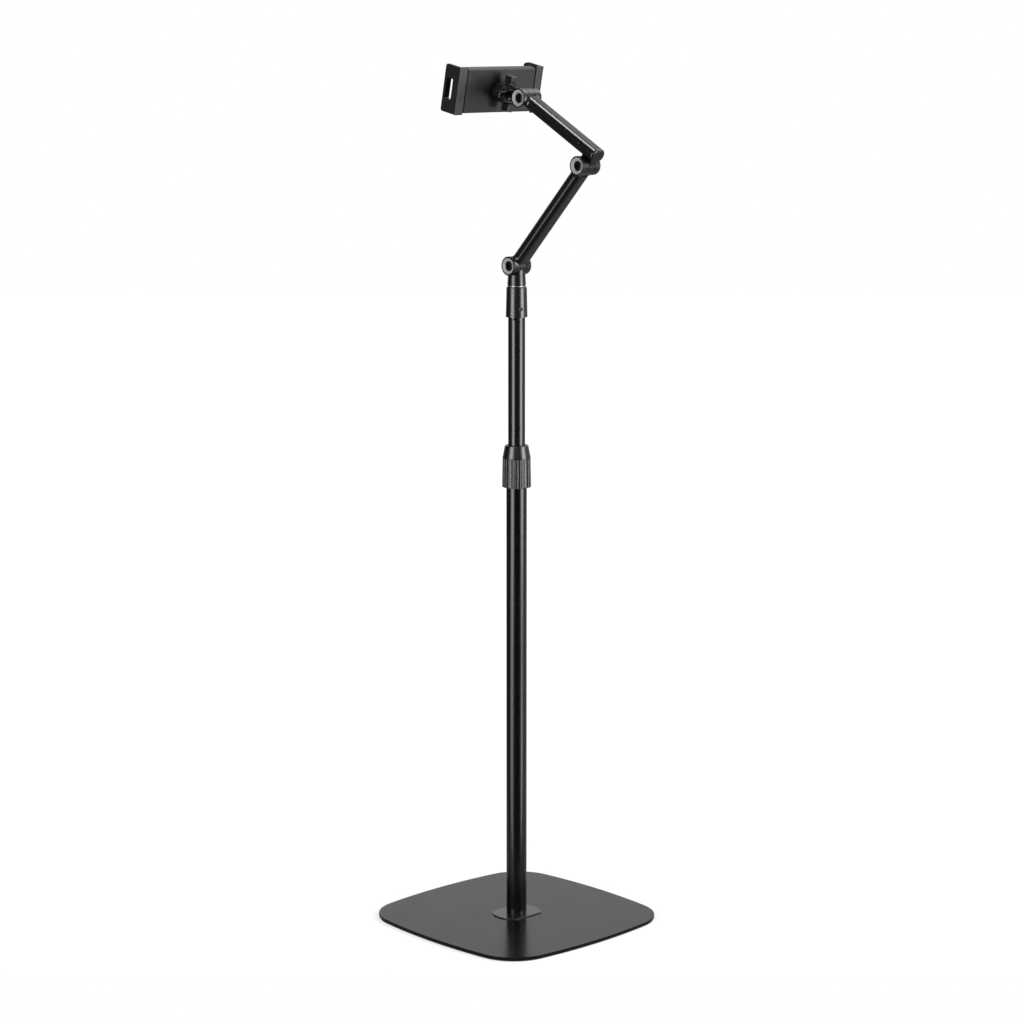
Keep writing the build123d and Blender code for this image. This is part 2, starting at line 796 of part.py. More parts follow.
def make_ball():
    ball = Pos(0, neck_length, 0) * Sphere(ball_radius)
    ball += y_rod(neck_tip_radius, neck_tip_place + seat_gap, neck_length)
    return ball + y_rod(ball_stud_radius, ball_stud_start, neck_length)


def shell_ball(radius):
    """Sphere about the ball's centre, in the holder's frame."""
    return Pos(0, -ball_behind_plate, 0) * Sphere(radius)


def make_ball_liner():
    inner = ball_radius + run_gap
    liner = shell_ball(inner + liner_wall) - shell_ball(inner)
    edge = -ball_behind_plate + inner * math.sin(math.radians(liner_half_angle - 90))
    return liner & block((-cut_far, cut_far), (edge, cut_far), (-cut_far, cut_far))


def make_ball_socket():
    flange_start = body_wall
    socket = y_rod(socket_radius, -socket_height, flange_start)
    socket += y_rod(socket_flange_radius, flange_start, flange_start + socket_flange_thickness)
    socket -= shell_ball(ball_radius + 2 * run_gap + liner_wall)
    for turn in range(4):
        socket -= socket_screw_rod(turn, socket_screw_radius + seat_gap, 0, cut_far)
    return socket - y_rod(pinion_pin_radius + seat_gap, flange_start + pinion_pin_socket_wall, cut_far)


def socket_screw_rod(turn, radius, start, end):
    """Rod at one of the four socket screws."""
    angle = math.radians(45 + 90 * turn)
    across, up = socket_screw_circle * math.cos(angle), socket_screw_circle * math.sin(angle)
    return y_rod(radius, start, end, across, up)


def make_socket_screws():
    head_start = body_wall + socket_flange_thickness
    head_end = head_start + socket_screw_head_height
    screws = []
    for turn in range(4):
        screw = socket_screw_rod(turn, socket_screw_radius, socket_screw_start, head_start)
        screws.append(screw + socket_screw_rod(turn, socket_screw_head_radius, head_start, head_end))
    return screws


def make_ball_seat_ring():
    lip = -ball_behind_plate - math.sqrt((ball_radius + run_gap) ** 2 - seat_ring_lip_radius**2)
    ring = y_rod(seat_ring_radius, seat_ring_top, seat_ring_bottom)
    ring -= turned_y([
        (0, seat_ring_top - cut_over),
        (seat_ring_mouth_radius, seat_ring_top - cut_over),
        (seat_ring_mouth_radius, seat_ring_top),
        (seat_ring_lip_radius, lip),
        (0, lip),
    ])
    return ring - shell_ball(ball_radius + run_gap)


def knob_lobe():
    """Upper lobe of the knob: a bar that widens to its root in two hollow curves."""
    half = knob_lobe_width / 2
    root = knob_lobe_root_width / 2
    low = knob_lobe_inner_radius
    high = low + knob_lobe_root_height
    sag = (root - half) / math.sqrt(8)
    middle = (half + root) / 2 - sag, (low + high) / 2 - sag
    outline = [
        Polyline((root, low), (-root, low)),
        ThreePointArc((-root, low), (-middle[0], middle[1]), (-half, high)),
        Polyline((-half, high), (-half, knob_lobe_radius), (half, knob_lobe_radius), (half, high)),
        ThreePointArc((half, high), middle, (root, low)),
    ]
    lobe = extrude(Plane.XZ * make_face(outline), knob_lobe_end - knob_start)
    lobe = Pos(0, -knob_start, 0) * lobe
    lobe = lobe & y_rod(knob_lobe_radius, -knob_lobe_end, -knob_start)

    def above_root(edge):
        return (edge @ 0.5).Z > low + near

    return fillet(lobe.edges().filter_by(above_root), knob_lobe_round)


def make_knob():
    ring_top = seat_ring_top - seat_gap
    hub_end = -knob_start - knob_hub_height
    knob = turned_y([
        (0, -knob_rim_place),
        (knob_rim_radius, -knob_rim_place),
        (knob_hub_radius, hub_end),
        (knob_hub_radius, -knob_start),
        (0, -knob_start),
    ])
    lobe = knob_lobe()
    for number in range(knob_lobe_count):
        knob += Rot(0, 360 * number / knob_lobe_count, 0) * lobe
    knob -= y_rod(knob_bore_radius, ring_top, 0)
    knob -= turned_y([
        (0, -knob_rim_place - cut_over),
        (knob_mouth_radius, -knob_rim_place - cut_over),
        (knob_mouth_radius, -knob_rim_place),
        (knob_mouth_inner_radius, ring_top),
        (0, ring_top),
    ])
    return knob


# Holder body, in the holder's frame: X across, Y forwards, Z up the plate
def body_block(inset, start, end):
    """Rounded box of the body's outline, drawn in by an inset."""
    width = body_width - 2 * inset
    height = body_height - 2 * inset
    corner = max(body_corner_round - inset / 2, least_round)
    section = Plane.XZ * RectangleRounded(width, height, corner)
    return Pos(0, end, 0) * extrude(section, end - start)


def cover_screw_places():
    return [(x, z) for x in (-cover_screw_x, cover_screw_x) for z in (-cover_screw_z, cover_screw_z)]


def tongue_window(side):
    """Opening in the housing's end wall for a tongue. side is +1 for the right jaw."""
    x_range = tuple(sorted((side * (body_width / 2 - 2 * body_wall), side * body_width)))
    y_range = (tongue_start - tongue_guide, tongue_end + tongue_guide)
    edge = rack_root() - tongue_guide
    z_range = tuple(sorted((side * edge, side * (tongue_outer + tongue_guide))))
    return block(x_range, y_range, z_range)


def make_back_housing():
    housing = body_block(0, 0, cover_start)
    housing = chamfer(housing.edges().group_by(Axis.Y)[0], body_bevel)
    housing -= body_block(body_wall, body_wall, cover_start + cut_over)
    housing -= y_rod(socket_radius + seat_gap, -cut_over, body_wall + cut_over)
    for turn in range(4):
        hole = socket_screw_rod(turn, socket_screw_radius + seat_gap, socket_screw_start - seat_gap, cut_far)
        housing -= hole
    floor = body_wall - join_in
    for side in (-1, 1):
        housing -= tongue_window(side)
        rib_z = (side * (tongue_outer - rib_reach), side * (body_height / 2 - floor))
        rib_y = (floor, tongue_start - tongue_guide)
        housing += block((-tongue_inner_end, tongue_inner_end), rib_y, tuple(sorted(rib_z)))
        post_z = side * (spring_slot_low + spring_slot_high) / 2
        housing += y_rod(spring_post_radius, floor, tongue_end, -side * spring_post_place, post_z)
    for x, z in cover_screw_places():
        housing += y_rod(cover_boss_radius, floor, cover_start, x, z)
        housing -= y_rod(cover_screw_radius + seat_gap, body_wall + join_in, cut_far, x, z)
    return housing


def make_front_cover():
    lip_inset = body_wall + seat_gap
    lip_start = cover_start - cover_lip
    cover = body_block(0, cover_start, cover_end)
    cover = fillet(cover.edges().group_by(Axis.Y)[-1], cover_edge_round)
    cover += body_block(lip_inset, lip_start, cover_start + join_in)
    cover -= body_block(lip_inset + cover_lip_wall, lip_start - cut_over, cover_start)
    for side in (-1, 1):
        cover -= tongue_window(side)
    head_start = cover_end - cover_screw_head_height
    for x, z in cover_screw_places():
        cover -= y_rod(cover_screw_radius + seat_gap, 0, cut_far, x, z)
        cover -= y_rod(cover_screw_head_radius + seat_gap, head_start, cut_far, x, z)
    return cover - y_rod(pinion_pin_radius + seat_gap, 0, cover_end - pinion_pin_cover_wall)


def make_cover_screws():
    head_start = cover_end - cover_screw_head_height
    head_end = cover_end - 2 * seat_gap
    screws = []
    for x, z in cover_screw_places():
        screw = y_rod(cover_screw_radius, head_start - cover_screw_length, head_start, x, z)
        screw += y_rod(cover_screw_head_radius, head_start, head_end, x, z)
        screws.append(screw)
    return screws


def make_face_pad():
    width = body_width - 2 * face_pad_margin
    height = body_height - 2 * face_pad_margin
    section = Plane.XZ * RectangleRounded(width, height, face_pad_round)
    return Pos(0, body_depth, 0) * extrude(section, face_pad_thickness)


def make_pinion_pin():
    start = body_wall + pinion_pin_socket_wall + seat_gap
    return y_rod(pinion_pin_radius, start, cover_end - pinion_pin_cover_wall - seat_gap)


# Rack and pinion
pitch_radius = gear_module * pinion_teeth / 2
tooth_pitch = math.pi * gear_module
tooth_thickness = tooth_pitch / 2 - gear_backlash


def rack_root():
    """Height of the rack's root line above the pinion's axis."""
    return pitch_radius + gear_dedendum * gear_module


def involute(angle):
    return math.tan(angle) - angle


def make_pinion():
    """Spur gear with involute flanks, about Y."""
    pressure = math.radians(gear_pressure_angle)
    base_radius = pitch_radius * math.cos(pressure)
    root_radius = pitch_radius - gear_dedendum * gear_module
    tip_radius = pitch_radius + gear_addendum * gear_module
    half_at_pitch = tooth_thickness / 2 / pitch_radius
    flank = [(root_radius, half_at_pitch + involute(pressure))]
    for number in range(5):
        radius = base_radius + (tip_radius - base_radius) * number / 4
        reached = math.acos(min(1.0, base_radius / radius))
        flank.append((radius, half_at_pitch + involute(pressure) - involute(reached)))
    points = []
    for tooth in range(pinion_teeth):
        centre = math.pi / 2 + (tooth + 0.5) * 2 * math.pi / pinion_teeth
        side = [(radius, centre - half) for radius, half in flank]
        side += [(radius, centre + half) for radius, half in reversed(flank)]
        points += [(radius * math.cos(angle), radius * math.sin(angle)) for radius, angle in side]
    start = tongue_start + pinion_side_gap
    end = tongue_end - pinion_side_gap
    face = Plane.XZ * make_face(Polyline(*points, close=True))
    gear = Pos(0, end, 0) * extrude(face, end - start)
    return gear - y_rod(pinion_pin_radius + run_gap, 0, cut_far)


def rack_teeth():
    """Row of rack teeth that point down to the pinion, for the right jaw's tongue."""
    tan = math.tan(math.radians(gear_pressure_angle))
    tip = pitch_radius - gear_addendum * gear_module
    root = rack_root()
    half_tip = tooth_thickness / 2 - (pitch_radius - tip) * tan
    half_root = tooth_thickness / 2 + (root - pitch_radius) * tan
    first = -math.floor((tongue_inner_end - half_root) / tooth_pitch)
    points = []
    for number in range(first, rack_end_teeth):
        middle = number * tooth_pitch
        points.append((middle - half_root, root))
        points.append((middle - half_tip, tip))
        points.append((middle + half_tip, tip))
        points.append((middle + half_root, root))
    points.append((points[-1][0], root + join_in))
    points.append((points[0][0], root + join_in))
    face = Plane.XZ * make_face(Polyline(*points, close=True))
    return Pos(0, tongue_end, 0) * extrude(face, tongue_thickness)


# Jaws, made for the right side and turned half round for the left
def make_right_jaw():
    half = jaw_height / 2
    inner = jaw_reach - jaw_wall
    jaw = block((inner, jaw_reach), (0, jaw_depth), (-half, half))
    jaw += block((jaw_reach - jaw_strip_width, jaw_reach), (0, jaw_strip_thickness), (-half, half))
    lip_start = jaw_depth - jaw_lip_thickness
    jaw += block((jaw_reach - jaw_lip_width, jaw_reach), (lip_start, jaw_depth), (-half, half))

    def lip_corner(edge):
        point = edge @ 0.5
        at_lip_end = abs(point.X - (jaw_reach - jaw_lip_width)) < near
        at_lip_middle = abs(point.Y - jaw_depth + jaw_lip_thickness / 2) < near
        return at_lip_end and at_lip_middle and abs(abs(point.Z) - half) < near

    def outer_outline(edge):
        return all(abs((edge @ place).X - jaw_reach) < near for place in (0, 0.5, 1))

    jaw = fillet(jaw.edges().filter_by(lip_corner), jaw_corner_round)
    jaw = jaw & jaw_side_outline()
    jaw = fillet(jaw.edges().filter_by(outer_outline), jaw_edge_round)
    web_half = body_height / 2 - jaw_web_inset
    web_start = body_width / 2 + jaw_body_gap
    web_range = (tongue_start - jaw_web_over, tongue_end + jaw_web_over)
    jaw += block((web_start, inner + join_in), web_range, (-web_half, web_half))
    tongue_x = (-tongue_inner_end, web_start + join_in)
    jaw += block(tongue_x, (tongue_start, tongue_end), (rack_root(), tongue_outer))
    jaw += rack_teeth()
    slot_range = (-cut_far - body_width / 2, body_width / 2 - tongue_slot_end)
    jaw -= block(slot_range, (0, body_depth), (spring_slot_low, spring_slot_high))
    return jaw - jaw_slot(inner - cut_over, jaw_reach + cut_over)


def jaw_side_outline():
    """Long block with the jaw's outline seen from the side, its two front corners rounded."""
    half = jaw_height / 2
    outline = block((0, jaw_reach + cut_over), (-cut_over, jaw_depth), (-half, half))
    front_edges = outline.edges().filter_by(Axis.X).group_by(Axis.Y)[-1]
    return fillet(front_edges, jaw_front_round)


def jaw_slot(left, right):
    """Through slot in the jaw's outer wall."""
    section = Plane.YZ * RectangleRounded(jaw_slot_width, jaw_slot_height, jaw_slot_round)
    return Pos(left, jaw_slot_start + jaw_slot_width / 2, 0) * extrude(section, right - left)


def make_right_jaw_pad():
    outer = jaw_reach - jaw_wall
    half = jaw_height / 2 - jaw_pad_inset
    start = tongue_end + jaw_web_over + 2 * seat_gap
    lip_end = jaw_depth - jaw_lip_thickness
    lip_inner = jaw_reach - jaw_lip_width + jaw_pad_lip_inset
    pad = block((outer - jaw_pad_wall, outer), (start, lip_end), (-half, half))
    pad += block((lip_inner, outer), (lip_end - jaw_pad_lip, lip_end), (-half, half))
    return pad - jaw_slot(lip_inner - cut_over, outer + cut_over)


def half_turn(shape):
    """Right-hand piece turned half round the plate's normal, which gives the left-hand piece."""
    return Rot(0, 180, 0) * shape


def make_spring():
    """Coil spring in the right tongue's slot, from the housing's post to the slot's outer end."""
    middle_z = (spring_slot_low + spring_slot_high) / 2
    middle_y = tongue_start + tongue_thickness / 2
    length = spring_pitch * spring_turns
    start_x = -length / 2
    helix = Helix(spring_pitch, length, spring_coil_radius)
    profile = Plane(origin=helix @ 0, z_dir=helix % 0) * Circle(spring_wire_radius)
    coil = sweep(profile, path=helix, is_frenet=True)
    half = spring_end_thickness / 2
    coil += rod(spring_end_radius, -half, half)
    coil += rod(spring_end_radius, length - half, length + half)
    coil = Pos(start_x, middle_y, middle_z) * Rot(0, 90, 0) * coil
    post_edge = -spring_post_place + spring_post_radius + seat_gap
    coil += x_rod(spring_hook_radius, post_edge, start_x, middle_y, middle_z)
    slot_end = body_width / 2 - tongue_slot_end - seat_gap
    return coil + x_rod(spring_hook_radius, length / 2, slot_end, middle_y, middle_z)


# Assembly: every piece in its place at rest, one file each
def at(frame, shape):
    """Move a shape, or each shape of a list, into a frame."""
    if isinstance(shape, list):
        return Compound([solid for piece in shape for solid in (frame * piece).solids()])
    return frame * shape


def both(first, second):
    """Two pieces as one group of separate solids."""
    solids = []
    for shape in (first, second):
        solids += shape.solids()
    return Compound(solids)


middle_frame = upper_arm_frame * Pos(0, upper_arm_length, 0)
right_spring = make_spring()

parts = {
    "base_plate": make_base_plate(),
    "base_pad": make_base_pad(),
    "flange_plate": make_flange_plate(),
    "base_washer": make_base_washer(),
    "base_screw": make_base_screw(),
    "foot_insert": make_foot_insert(),
    "lower_tube": make_lower_tube(),
    "lock_sleeve": make_lock_sleeve(),
    "lock_collet": make_lock_collet(),
    "lock_thrust_ring": make_lock_thrust_ring(),
    "lock_collar": make_lock_collar(),
    "upper_tube": make_upper_tube(),
    "guide_bush": make_guide_bush(),
    "head_sleeve": make_head_sleeve(),
    "sleeve_set_screw": make_sleeve_set_screw(),
    "swivel_ring": make_swivel_ring(),
    "swivel_washer": make_swivel_washer(),
    "swivel_bolt": make_swivel_bolt(),
    "post": make_post(),
    "upper_arm": at(upper_arm_frame, make_upper_arm()),
    "forearm": at(forearm_frame, make_forearm()),
    "forearm_end": at(forearm_frame, make_forearm_end()),
    "forearm_pin": at(forearm_frame, make_forearm_pin()),
    "head_neck": at(neck_frame, make_head_neck()),
    "ball": at(neck_frame, make_ball()),
    "ball_liner": at(holder_frame, make_ball_liner()),
    "ball_seat_ring": at(holder_frame, make_ball_seat_ring()),
    "knob": at(holder_frame, make_knob()),
    "ball_socket": at(holder_frame, make_ball_socket()),
    "socket_screws": at(holder_frame, make_socket_screws()),
    "back_housing": at(holder_frame, make_back_housing()),
    "front_cover": at(holder_frame, make_front_cover()),
    "cover_screws": at(holder_frame, make_cover_screws()),
    "face_pad": at(holder_frame, make_face_pad()),
    "right_jaw": at(holder_frame, make_right_jaw()),
    "left_jaw": at(holder_frame, half_turn(make_right_jaw())),
    "right_jaw_pad": at(holder_frame, make_right_jaw_pad()),
    "left_jaw_pad": at(holder_frame, half_turn(make_right_jaw_pad())),
    "pinion": at(holder_frame, make_pinion()),
    "pinion_pin": at(holder_frame, make_pinion_pin()),
    "right_spring": at(holder_frame, right_spring),
    "left_spring": at(holder_frame, half_turn(right_spring)),
}

# Hinge hardware: the upper arm carries two sets, the forearm one
hinge_pieces = {
    "hinge_bolt": make_hinge_bolt(),
    "hinge_ring": make_hinge_ring(),
    "hinge_spring_washer": make_spring_washer(),
    "hinge_nut": make_hinge_nut(),
    "hinge_cap": make_hinge_cap(),
}
for name, piece in hinge_pieces.items():
    parts["arm_" + name + "s"] = both(upper_arm_frame * piece, middle_frame * piece)
    parts["top_" + name] = at(forearm_frame, piece)
washer_pair = make_friction_washers()
parts["arm_friction_washers"] = both(at(upper_arm_frame, washer_pair), at(middle_frame, washer_pair))
parts["top_friction_washers"] = at(forearm_frame, washer_pair)

os.makedirs("parts", exist_ok=True)
for name, shape in parts.items():
    export_step(shape, "parts/" + name + ".step")

print("middle hinge", middle_hinge)
print("top hinge", top_hinge)
print("ball centre", ball_centre)
print("holder origin", holder_origin)
print("lower hinge height", lower_hinge_z)
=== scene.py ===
# %% [markdown]
# # A tablet floor stand in satin black
# The stand is a flat steel base, a two-tube pole with a twist lock, a folding
# arm and a jaw holder on a ball joint. Its shapes come from the CAD model, so
# this lesson is about finishes, light and the camera: how to tell powder coat
# from enamelled tube, moulded plastic, rubber and steel when all of them are
# nearly black.

# %% Load the CAD model
import math

import bpy
import numpy as np
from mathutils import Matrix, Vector

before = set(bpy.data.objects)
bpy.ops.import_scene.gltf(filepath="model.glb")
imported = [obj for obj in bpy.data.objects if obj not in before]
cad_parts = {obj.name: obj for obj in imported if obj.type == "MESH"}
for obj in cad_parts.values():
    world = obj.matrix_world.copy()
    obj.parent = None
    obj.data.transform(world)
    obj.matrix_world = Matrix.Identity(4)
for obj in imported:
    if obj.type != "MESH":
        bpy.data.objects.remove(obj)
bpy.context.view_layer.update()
print("pieces from the CAD model:", len(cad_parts))

# %% [markdown]
# ## The camera
# The photograph was taken from just above the holder, so the base is seen from
# about 18 degrees above and the holder almost level. A long lens keeps the
# pole's two edges nearly parallel. The photographer's lens was level and
# shifted far down. This one looks down by 9 degrees instead, because that
# needs hardly any shift and frames the stand well from every other side too.

# %% Camera
CAMERA_AZIMUTH = math.radians(-43.54)
CAMERA_DISTANCE = 3.378
CAMERA_HEIGHT = 1.1076
CAMERA_PITCH = math.radians(9.361)
CAMERA_YAW = math.radians(0.0953)
CAMERA_SHIFT = -0.03
CAMERA_SEES_TO = 60.0
SENSOR_WIDTH = 36.0
CAMERA_LENS = 2811.6 / 1024 * SENSOR_WIDTH


def add_camera():
    """Stand the camera on a circle round the pole and aim it a little down."""
    data = bpy.data.cameras.new("camera")
    data.lens = CAMERA_LENS
    data.sensor_width = SENSOR_WIDTH
    data.shift_y = CAMERA_SHIFT
    data.clip_end = CAMERA_SEES_TO
    camera = bpy.data.objects.new("camera", data)
    camera.location = (
        CAMERA_DISTANCE * math.sin(CAMERA_AZIMUTH),
        -CAMERA_DISTANCE * math.cos(CAMERA_AZIMUTH),
        CAMERA_HEIGHT,
    )
    camera.rotation_euler = (math.pi / 2 - CAMERA_PITCH, 0.0, CAMERA_AZIMUTH + CAMERA_YAW)
    bpy.context.collection.objects.link(camera)
    bpy.context.scene.camera = camera
    return camera


camera = add_camera()
print("camera at", [round(v, 3) for v in camera.location], "lens", round(CAMERA_LENS, 1))

# %% [markdown]
# ## Directions in the studio
# Lamps and walls are easiest to place as the photographer sees them: ahead of
# the camera or to its right. These two vectors turn that into the model's own
# axes, so the whole studio follows the camera's angle.

# %% Directions
VIEW_AHEAD = Vector((-math.sin(CAMERA_AZIMUTH), math.cos(CAMERA_AZIMUTH), 0.0))
VIEW_RIGHT = Vector((math.cos(CAMERA_AZIMUTH), math.sin(CAMERA_AZIMUTH), 0.0))
print("ahead", [round(v, 3) for v in VIEW_AHEAD], "right", [round(v, 3) for v in VIEW_RIGHT])

# %% [markdown]
# ## Small helpers for node trees
# A node tree written out by hand is long: one line per socket. With a helper
# that takes values and other nodes' outputs alike, a tree reads like a
# formula, and the numbers that matter stand next to each other.

# %% Node helpers
def wire(tree, node, inputs):
    """Fill a node's inputs, by name or number, with values or other nodes' outputs."""
    for label, value in inputs.items():
        if isinstance(value, bpy.types.NodeSocket):
            tree.links.new(value, node.inputs[label])
        else:
            node.inputs[label].default_value = value


def add_node(tree, kind, inputs, operation=None):
    """Add one node, with an operation where its kind has one."""
    node = tree.nodes.new(kind)
    if operation:
        node.operation = operation
    wire(tree, node, inputs)
    return node


def combine(tree, operation, first, second):
    """One sum, product, quotient or larger value of two numbers."""
    return add_node(tree, "ShaderNodeMath", {0: first, 1: second}, operation).outputs[0]


def along(tree, where, direction):
    """How far a point or direction lies along another direction."""
    dot = add_node(tree, "ShaderNodeVectorMath", {0: where, 1: direction}, "DOT_PRODUCT")
    return dot.outputs["Value"]


def ramp(tree, value, start, full, low=0.0, high=1.0, smooth=False):
    """Low up to start, high from full on, and a straight or smooth rise between them."""
    node = tree.nodes.new("ShaderNodeMapRange")
    if smooth:
        node.interpolation_type = "SMOOTHSTEP"
    wire(tree, node, {
        "Value": value, "From Min": start, "From Max": full, "To Min": low, "To Max": high,
    })
    return node.outputs["Result"]


def mix_shaders(tree, share, first, second):
    """Two shaders as one; share is the part of the second."""
    return add_node(tree, "ShaderNodeMixShader", {0: share, 1: first, 2: second}).outputs[0]


print("node helpers: wire, add_node, combine, along, ramp, mix_shaders")

# %% [markdown]
# ## The floor
# The stand was photographed on white paper that fades into the background.
# A flat grid does for the paper. It stops a little in front of the base,
# outside the picture, so that the foot of the pole mirrors the low lights
# there and not paper.

# %% Floor
FLOOR_REACH = 8.0
FLOOR_IN_FRONT = 0.22
FLOOR_CELLS = 8
FLOOR_DROP = 0.0002


def add_floor():
    """A flat grid: 8 m to each side and ahead of the camera, 0.22 m towards it."""
    across, ahead = np.meshgrid(
        np.linspace(-FLOOR_REACH, FLOOR_REACH, FLOOR_CELLS + 1),
        np.linspace(-FLOOR_IN_FRONT, FLOOR_REACH, FLOOR_CELLS + 1),
    )
    x = across * VIEW_RIGHT.x + ahead * VIEW_AHEAD.x
    y = across * VIEW_RIGHT.y + ahead * VIEW_AHEAD.y
    points = np.stack([x.ravel(), y.ravel(), np.full(x.size, -FLOOR_DROP)], axis=1)
    row = FLOOR_CELLS + 1
    corner = (np.arange(FLOOR_CELLS)[:, None] * row + np.arange(FLOOR_CELLS)).ravel()
    quads = np.stack([corner, corner + 1, corner + row + 1, corner + row], axis=1)
    mesh = bpy.data.meshes.new("floor")
    mesh.from_pydata(points.tolist(), [], quads.tolist())
    floor = bpy.data.objects.new("floor", mesh)
    bpy.context.collection.objects.link(floor)
    return floor


floor = add_floor()
print("floor faces:", len(floor.data.polygons))

# %% [markdown]
# ## The floor's paper
# To the eye the paper is pure white except for a faint shadow under the base. It could be lit
# until it is white, but that light would fall on the stand as well. So part of what the eye sees
# is a glow that only camera rays meet, a little stronger away from the pole. In reflections the
# paper is swapped for a painted shade: a dim glow, dimmest on the left, that stands in for dark
# cards beside the set. This painted shade draws the dark edges that each tube has in the
# photograph.

# %% Floor paper
PAPER_COLOUR = (0.86, 0.86, 0.86, 1)
GLOW_SHARE = 0.60
GLOW_FROM, GLOW_TO = 0.25, 2.5
GLOW_NEAR, GLOW_FAR = 1.03, 1.45
# Painted shade in reflections: glow strength from dark on the left to pale in the middle.
REFLECTED_SHADE_LEFT, REFLECTED_SHADE_MIDDLE = -0.7, 0.0
REFLECTED_SHADE_DARK, REFLECTED_SHADE_PALE = 0.08, 0.38


def floor_material():
    """Paper to lamps, paper and glow to the eye, and in reflections a painted shade: a dim glow,
    darker on the left.
    """
    material = bpy.data.materials.new("floor_paper")
    material.use_nodes = True
    tree = material.node_tree
    shader = tree.nodes["Principled BSDF"]
    wire(tree, shader, {
        "Base Color": PAPER_COLOUR, "Roughness": 0.9, "Specular IOR Level": 0.0,
    })
    path = tree.nodes.new("ShaderNodeLightPath")
    where = tree.nodes.new("ShaderNodeTexCoord").outputs["Object"]

    from_pole = add_node(tree, "ShaderNodeVectorMath", {0: where}, "LENGTH").outputs["Value"]
    glow = add_node(tree, "ShaderNodeEmission", {
        "Strength": ramp(tree, from_pole, GLOW_FROM, GLOW_TO, GLOW_NEAR, GLOW_FAR),
    })
    share = combine(tree, "MULTIPLY", path.outputs["Is Camera Ray"], GLOW_SHARE)
    seen = mix_shaders(tree, share, shader.outputs[0], glow.outputs[0])

    # Painted shade: gloss sees the floor as a dim glow, darkest on the left, in place of dark
    # cards.
    to_right = along(tree, where, VIEW_RIGHT)
    painted_reflection_shade = add_node(tree, "ShaderNodeEmission", {
        "Strength": ramp(tree, to_right, REFLECTED_SHADE_LEFT, REFLECTED_SHADE_MIDDLE, REFLECTED_SHADE_DARK, REFLECTED_SHADE_PALE),
    })
    mirrored = combine(
        tree, "MAXIMUM", path.outputs["Is Glossy Ray"], path.outputs["Is Transmission Ray"])
    surface = mix_shaders(tree, mirrored, seen, painted_reflection_shade.outputs[0])
    wire(tree, tree.nodes["Material Output"], {"Surface": surface})
    return material


floor.data.materials.append(floor_material())
print("floor material:", floor.data.materials[0].name)

# %% [markdown]
# ## The studio's walls
# The base is a dark mirror seen at a low angle: its grey sheen is the bright
# wall ahead of the camera. Each wall here is a soft patch of brightness round
# one direction, which is enough because only reflections show it. The patch
# overhead gives the arms their sheen, and the one behind keeps the base from
# going black when it is seen from the far side. Camera rays see plain white.

# %% World
UPPER_RIGHT = Vector((0.69, -0.10, 0.71)).normalized()
UPPER_BEHIND = (Vector((0.0, 0.0, 0.6)) - VIEW_AHEAD * 0.8).normalized()
WALLS = {
    # name: (direction, cosine where it starts, cosine where it is full, dark, bright)
    "ahead": (VIEW_AHEAD, 0.55, 0.88, 0.02, 0.86),
    "right": (VIEW_RIGHT, 0.60, 0.95, 0.0, 0.50),
    "ceiling": (UPPER_RIGHT, 0.90, 0.975, 0.0, 3.6),
    "behind": (UPPER_BEHIND, 0.82, 0.95, 0.0, 0.5),
}
WHITE = (1, 1, 1, 1)


def build_world():
    """The sum of the walls for the light, and plain white for the eye."""
    world = bpy.data.worlds.new("studio")
    bpy.context.scene.world = world
    world.use_nodes = True
    tree = world.node_tree
    tree.nodes.clear()
    where = tree.nodes.new("ShaderNodeTexCoord").outputs["Generated"]
    total = 0.0
    for direction, start, full, dark, bright in WALLS.values():
        wall = ramp(tree, along(tree, where, direction), start, full, dark, bright, smooth=True)
        total = combine(tree, "ADD", total, wall)
    studio = add_node(tree, "ShaderNodeBackground", {"Color": WHITE, "Strength": total})
    paper = add_node(tree, "ShaderNodeBackground", {"Color": WHITE, "Strength": 1.0})
    path = tree.nodes.new("ShaderNodeLightPath")
    shown = mix_shaders(tree, path.outputs["Is Camera Ray"], studio.outputs[0], paper.outputs[0])
    add_node(tree, "ShaderNodeOutputWorld", {"Surface": shown})


build_world()
print("walls:", sorted(WALLS))

# %% [markdown]
# ## Soft boxes
# A round black tube shows a soft box as a pale line along it. One box stands
# on each side of the lens, so each tube has two lines. The camera looks down
# on the pole, so its foot mirrors what is below floor level: two dimmer boxes
# stand there, in front of the floor's edge. Each upright box is in two
# halves, a low one and a high one, because some pieces must not mirror both.

# %% Soft boxes
BOX_DISTANCE = 2.6
LOW_HALF = (0.325, (1.4, 0.75))
HIGH_HALF = (1.325, (1.4, 1.25))


def add_softbox(name, degrees, height, size, radiance):
    """An upright rectangle of light, at an angle round from the camera.

    A flat lamp's power is its radiance times its area times pi.
    """
    data = bpy.data.lights.new(name, "AREA")
    data.shape = "RECTANGLE"
    data.size, data.size_y = size
    data.energy = radiance * size[0] * size[1] * math.pi
    lamp = bpy.data.objects.new(name, data)
    angle = math.radians(degrees)
    side = -VIEW_AHEAD * math.cos(angle) + VIEW_RIGHT * math.sin(angle)
    lamp.location = side * BOX_DISTANCE + Vector((0, 0, height))
    lamp.rotation_euler = (-side).to_track_quat("-Z", "Y").to_euler()
    bpy.context.collection.objects.link(lamp)
    return lamp


low_boxes = [
    add_softbox("softbox_left_low", -46, *LOW_HALF, 8.0),
    add_softbox("softbox_right_low", 64, *LOW_HALF, 9.3),
]
high_boxes = [
    add_softbox("softbox_left_high", -46, *HIGH_HALF, 8.0),
    add_softbox("softbox_right_high", 64, *HIGH_HALF, 9.3),
]
add_softbox("foot_box_left", -56, -0.45, (1.4, 0.9), 3.4)
add_softbox("foot_box_right", 64, -0.70, (1.2, 0.6), 6.0)

